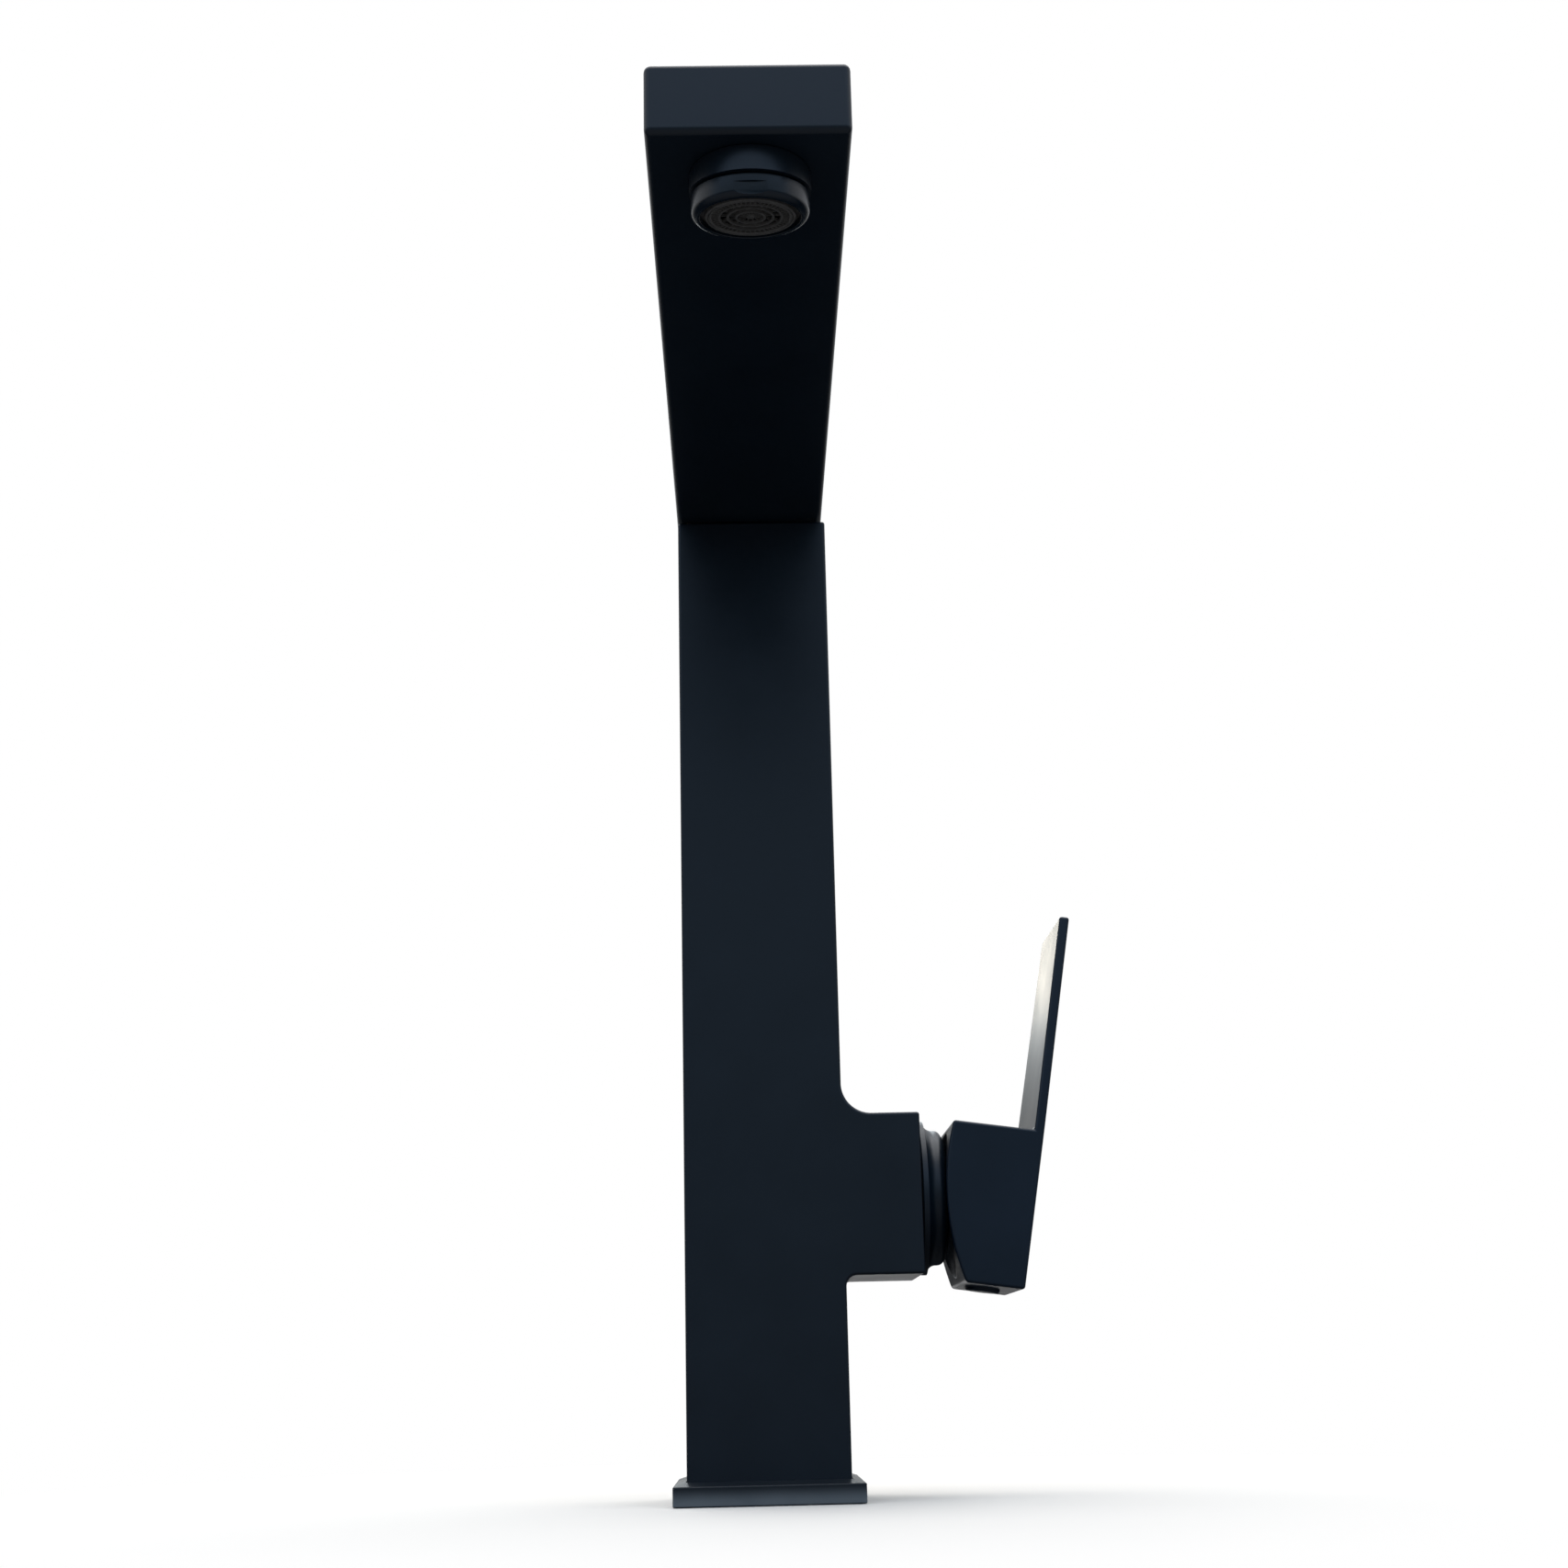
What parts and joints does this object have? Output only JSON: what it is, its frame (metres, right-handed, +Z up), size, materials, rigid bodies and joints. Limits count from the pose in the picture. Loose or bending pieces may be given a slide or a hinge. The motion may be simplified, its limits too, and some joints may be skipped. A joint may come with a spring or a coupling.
{
  "type": "bathroom mixer tap",
  "caption": "Tall square basin mixer tap: a swivelling bar spout on a slim column, a side valve with a flag-shaped lever, satin black, with its hose inlets and aerator",
  "frame": {"origin": "on the column's axis, at the level of the worktop that the base plate stands on", "axes": "+Z up the column, -Y along the spout, +X along the valve's axis towards the lever"},
  "size_m": [0.1172, 0.2601, 0.3036],
  "materials": {
    "satin_black": "satin",
    "brass": "machined",
    "copper": "drawn",
    "steel": "machined",
    "ceramic": "polished",
    "rubber": "matte",
    "white_plastic": "moulded",
    "grey_plastic": "moulded"
  },
  "bodies": {
    "tap_body": {"column_body": "satin_black", "base_plate": "satin_black", "base_gasket": "rubber", "foot_block": "brass", "cold_inlet_tube": "copper", "hot_inlet_tube": "copper", "mixed_outlet_tube": "copper", "cartridge_manifold": "brass", "spout_socket": "brass", "swivel_washer": "white_plastic", "spout_set_screw": "steel", "cartridge_base": "grey_plastic", "port_seal_cold": "rubber", "port_seal_hot": "rubber", "port_seal_mixed": "rubber", "cartridge_shell": "white_plastic", "fixed_disc": "ceramic", "bonnet_nut": "brass", "dome_cap": "satin_black"},
    "spout": {"spout_bar": "satin_black", "spout_stem": "brass", "stem_o_ring_lower": "rubber", "stem_o_ring_upper": "rubber", "aerator_nipple": "satin_black", "aerator_washer": "rubber", "flow_regulator": "white_plastic", "aerator_screen": "steel", "aerator_insert": "grey_plastic", "aerator_housing": "satin_black"},
    "valve_rotor": {"rotor": "white_plastic", "pivot_pin": "steel", "rotor_o_ring": "rubber"},
    "valve_disc": {"disc_carrier": "grey_plastic", "moving_disc": "ceramic"},
    "lever": {"lever_stem": "brass", "lever_handle": "satin_black", "handle_screw": "steel", "screw_plug": "steel"}
  },
  "joints": [
    {"name": "spout_swivel", "type": "hinge", "parent": "tap_body", "child": "spout", "pos_m": [0, 0, 0.2868], "axis": [0, 0, 1], "continuous": true},
    {"name": "temperature_turn", "type": "hinge", "parent": "tap_body", "child": "valve_rotor", "pos_m": [0.038, 0, 0.0827], "axis": [1, 0, 0], "range_deg": [-50, 50]},
    {"name": "flow_tilt", "type": "hinge", "parent": "valve_rotor", "child": "lever", "pos_m": [0.038, 0, 0.0827], "axis": [0, 1, 0], "range_deg": [0, 20]},
    {"name": "disc_slide", "type": "slide", "parent": "valve_rotor", "child": "valve_disc", "axis": [0, 0, 1], "range_m": [0, 0.004]}
  ],
  "couplings": [
    {"joint": "disc_slide", "follows": "flow_tilt", "m_per_rad": 0.010944}
  ]
}
